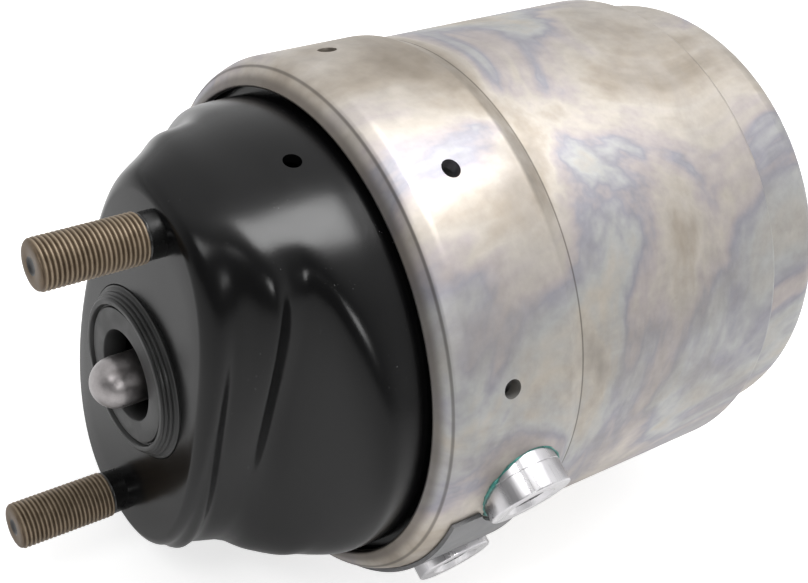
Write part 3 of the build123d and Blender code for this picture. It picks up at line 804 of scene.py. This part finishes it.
def port_sealant():
    """Uneven bead of compound squeezed out round the larger boss, thicker on the side that is seen."""
    random.seed(7)
    x, offset, radius = SPRING_PORT
    placed = port_placement(SPRING_PORT)
    steps, ring, waves = 150, 10, 6
    mean_size, wave_size, jitter, least_size, hidden_share = 0.75, 0.28, 0.12, 0.22, 0.45
    phases = [random.uniform(0, 2 * math.pi) for _ in range(waves)]
    points = []
    for step in range(steps):
        turn = 2 * math.pi * step / steps
        wave = sum(math.sin(turn * (3 + 4 * k) + phases[k]) / (1 + k) for k in range(waves))
        size = mean_size + wave_size * wave + random.uniform(-jitter, jitter)
        if math.cos(turn) * 0.9 - math.sin(turn) * 0.45 < -0.1:
            size *= hidden_share
        size = max(size, least_size)
        # The bead lies on the skirt, and runs down the step where the boss reaches over it.
        across = offset + radius * math.cos(turn)
        along = x + radius * math.sin(turn)
        surface = math.sqrt(max(SKIRT_RADIUS**2 - across**2, 0)) - max(along - 104.5, 0) * 0.35
        for point in range(ring):
            angle = 2 * math.pi * point / ring
            out = radius + 0.1 + size * 0.55 + size * 0.9 * math.cos(angle)
            up = surface + size * 0.75 * math.sin(angle)
            local = Vector((up, out * math.cos(turn), out * math.sin(turn)))
            points.append(tuple(placed @ local))
    obj = new_object("sealant_bead", points, grid_faces(steps, ring, closed=True), 180)
    stand_for(obj, "port_sealant", "green_sealant")


# ---- Pieces inside ----
def inner_copy(name):
    """Copy of a CAD node's mesh, in the node's material, that takes the node's place."""
    obj = bpy.data.objects.new(name + "_moving", frame["nodes"][name].data.copy())
    bpy.context.scene.collection.objects.link(obj)
    dress(obj, SLOTS[name])
    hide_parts(name)
    return obj


def moving_inners():
    """Copies of the spring, the boot and the diaphragm take their nodes' places; those of the spring and the
    boot ride with the chamber.
    """
    for name, front, keep in (("return_spring", 9.6, 0.115), ("rod_boot", 4.1, 0.03)):
        piece = inner_copy(name)
        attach(piece, "chamber")
        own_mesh(piece)
    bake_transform(inner_copy("service_diaphragm"))


def keep_cad(nodes):
    """Frame nodes whose shape stays, with this script's materials."""
    for name in nodes:
        dress(frame["nodes"][name], SLOTS[name])


service_housing()
mounting_studs()
mouth_seal()
push_rod()
body_shell()
port_adapter("boss_spring_port", "spring_port_adapter", SPRING_PORT)
port_adapter("boss_service_port", "service_port_adapter", SERVICE_PORT)
port_sealant()
moving_inners()
REPLACED = {
    "service_housing", "mounting_studs", "mouth_seal", "push_rod", "body_shell", "spring_port_adapter",
    "service_port_adapter", "port_sealant", "return_spring", "rod_boot", "service_diaphragm",
}
keep_cad(sorted(set(frame["nodes"]) - REPLACED))


# ---- Floor, light and camera ----
FLOOR_Z = -0.0912
FLOOR_REACH = 6.0
# What the floor adds to each kind of ray, so that it shows as white and mirrors pale.
FLOOR_GLOW = (("Is Camera Ray", 0.62), ("Is Glossy Ray", 0.15), ("Is Transmission Ray", 0.15))

# The room is white to the camera. It gives light at ROOM_LEVEL from the walls and CEILING_LEVEL from
# overhead, metal mirrors its walls at MIRRORED_LEVEL, and it is darker towards DARK_SIDE.
CAMERA_LEVEL = 1.0
CEILING_LEVEL = 1.15
CEILING_RISE = (0.45, 0.90)
ROOM_LEVEL = 0.62
MIRRORED_LEVEL = 1.0
DARK_SIDE = (-0.66, -0.66, 0.35)
DARK_SPREAD = (0.1, 0.8)
DARK_SHARE = 0.22

# Square soft boxes: place, watts, width.
LAMP_AIM = (0.09, 0, 0)
LAMPS = {
    "key": ((0.34, 0.0, 1.05), 9.5, 0.42),
    "side": ((-0.25, -1.1, 0.75), 3.5, 0.3),
    "front": ((-0.6, -0.2, 1.0), 2.5, 0.35),
}

# Solved from the photograph.
CAMERA_PLACE = (-0.174581, -0.270917, 0.349162)
CAMERA_RIGHT = (0.80388619, -0.55317731, 0.21854487)
CAMERA_UP = (0.25737229, 0.65477652, 0.71065266)
CAMERA_BACK = (-0.53621498, -0.51503647, 0.66873832)
CAMERA_LENS = 64.87
CAMERA_SENSOR = 36.0


def floor():
    """Matt pale floor that keeps the chamber's shadow."""
    mesh = bpy.data.meshes.new("floor")
    signs = ((-1, -1), (1, -1), (1, 1), (-1, 1))
    corners = [(FLOOR_REACH * x, FLOOR_REACH * y, FLOOR_Z) for x, y in signs]
    mesh.from_pydata(corners, [], [(0, 1, 2, 3)])
    obj = bpy.data.objects.new("floor", mesh)
    bpy.context.scene.collection.objects.link(obj)
    material = bpy.data.materials.new("floor")
    material.use_nodes = True
    tree = material.node_tree
    shader = tree.nodes["Principled BSDF"]
    shader.inputs["Base Color"].default_value = (0.80, 0.80, 0.80, 1)
    shader.inputs["Roughness"].default_value = 0.9
    shader.inputs["Specular IOR Level"].default_value = 0.1
    path = tree.nodes.new("ShaderNodeLightPath")
    glow = None
    for kind, level in FLOOR_GLOW:
        share = tree.nodes.new("ShaderNodeMath")
        share.operation = "MULTIPLY_ADD"
        tree.links.new(path.outputs[kind], share.inputs[0])
        share.inputs[1].default_value = level
        if glow is None:
            share.inputs[2].default_value = 0.0
        else:
            tree.links.new(glow, share.inputs[2])
        glow = share.outputs[0]
    tree.links.new(glow, shader.inputs["Emission Strength"])
    shader.inputs["Emission Color"].default_value = (1, 1, 1, 1)
    obj.data.materials.append(material)


def smooth_range(tree, value, ends):
    """Smooth step of a value in the world's nodes; ends are from low, from high, to low, to high."""
    made = tree.nodes.new("ShaderNodeMapRange")
    made.interpolation_type = "SMOOTHSTEP"
    for socket, end in zip(made.inputs[1:5], ends):
        socket.default_value = end
    tree.links.new(value, made.inputs[0])
    return made


def combined(tree, operation, first, second):
    made = tree.nodes.new("ShaderNodeMath")
    made.operation = operation
    tree.links.new(first, made.inputs[0])
    tree.links.new(second, made.inputs[1])
    return made.outputs[0]


def world():
    made = bpy.data.worlds.new("studio")
    made.use_nodes = True
    bpy.context.scene.world = made
    tree = made.node_tree
    background = tree.nodes["Background"]
    background.inputs["Color"].default_value = (1, 1, 1, 1)
    path = tree.nodes.new("ShaderNodeLightPath")
    direction = tree.nodes.new("ShaderNodeTexCoord").outputs["Generated"]

    apart = tree.nodes.new("ShaderNodeSeparateXYZ")
    tree.links.new(direction, apart.inputs[0])
    ceiling = smooth_range(tree, apart.outputs[2], (*CEILING_RISE, ROOM_LEVEL, CEILING_LEVEL))
    mirrored = combined(tree, "MAXIMUM", path.outputs["Is Glossy Ray"], path.outputs["Is Transmission Ray"])
    walls = smooth_range(tree, mirrored, (0.0, 1.0, ROOM_LEVEL, MIRRORED_LEVEL))
    tree.links.new(walls.outputs[0], ceiling.inputs[3])

    facing = tree.nodes.new("ShaderNodeVectorMath")
    facing.operation = "DOT_PRODUCT"
    facing.inputs[1].default_value = DARK_SIDE
    tree.links.new(direction, facing.inputs[0])
    shade = smooth_range(tree, facing.outputs["Value"], (*DARK_SPREAD, 1.0, DARK_SHARE))
    room = combined(tree, "MULTIPLY", ceiling.outputs[0], shade.outputs[0])

    shown = tree.nodes.new("ShaderNodeMix")
    tree.links.new(path.outputs["Is Camera Ray"], shown.inputs[0])
    tree.links.new(room, shown.inputs[2])
    shown.inputs[3].default_value = CAMERA_LEVEL
    tree.links.new(shown.outputs[0], background.inputs["Strength"])


def lamp(name, place, watts, size):
    """Square soft box aimed at the middle of the chamber."""
    light = bpy.data.lights.new(name, "AREA")
    light.energy = watts
    light.size = size
    obj = bpy.data.objects.new(name, light)
    bpy.context.scene.collection.objects.link(obj)
    obj.location = place
    aim = Vector(LAMP_AIM) - Vector(place)
    obj.rotation_euler = aim.to_track_quat("-Z", "Y").to_euler()


def camera():
    data = bpy.data.cameras.new("camera")
    data.sensor_fit = "HORIZONTAL"
    data.sensor_width = CAMERA_SENSOR
    data.lens = CAMERA_LENS
    data.clip_start = 0.01
    obj = bpy.data.objects.new("camera", data)
    bpy.context.scene.collection.objects.link(obj)
    turn = Matrix((CAMERA_RIGHT, CAMERA_UP, CAMERA_BACK)).transposed().to_4x4()
    obj.matrix_world = Matrix.Translation(CAMERA_PLACE) @ turn
    bpy.context.scene.camera = obj


floor()
world()
for lamp_name, settings in LAMPS.items():
    lamp(lamp_name, *settings)
camera()
bpy.context.scene.view_settings.view_transform = "Standard"
